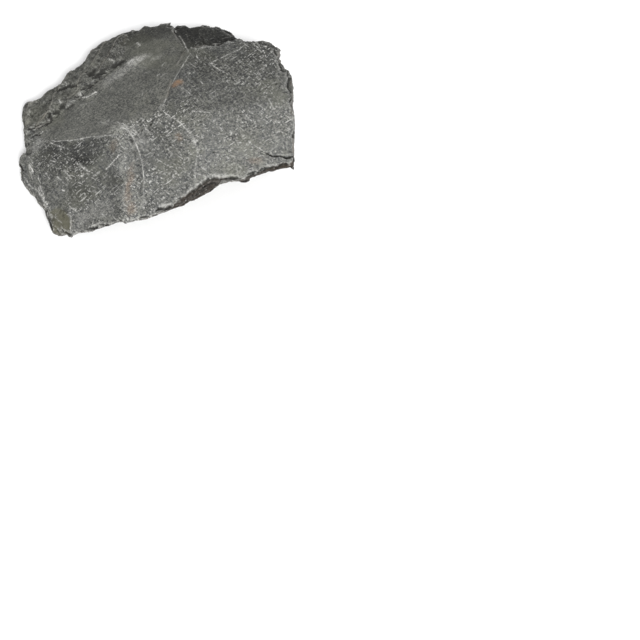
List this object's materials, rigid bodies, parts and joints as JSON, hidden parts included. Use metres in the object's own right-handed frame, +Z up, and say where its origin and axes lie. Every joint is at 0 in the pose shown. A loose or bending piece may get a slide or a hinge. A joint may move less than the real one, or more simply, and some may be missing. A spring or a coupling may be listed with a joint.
{
  "type": "slate slab",
  "caption": "Loose, wedge-shaped slab of split slate with a broad flat top, stepped broken rims and a flat underside to rest on.",
  "frame": {"origin": "on the ground, under the middle of the slab's bounding box", "axes": "+X along the slab's length towards its thick end, +Y from its front edge to its back edge, +Z up from the resting face"},
  "size_m": [0.178, 0.161, 0.038],
  "materials": {
    "slate": "matte"
  },
  "bodies": {
    "root": {"slate_slab": "slate"}
  },
  "joints": []
}
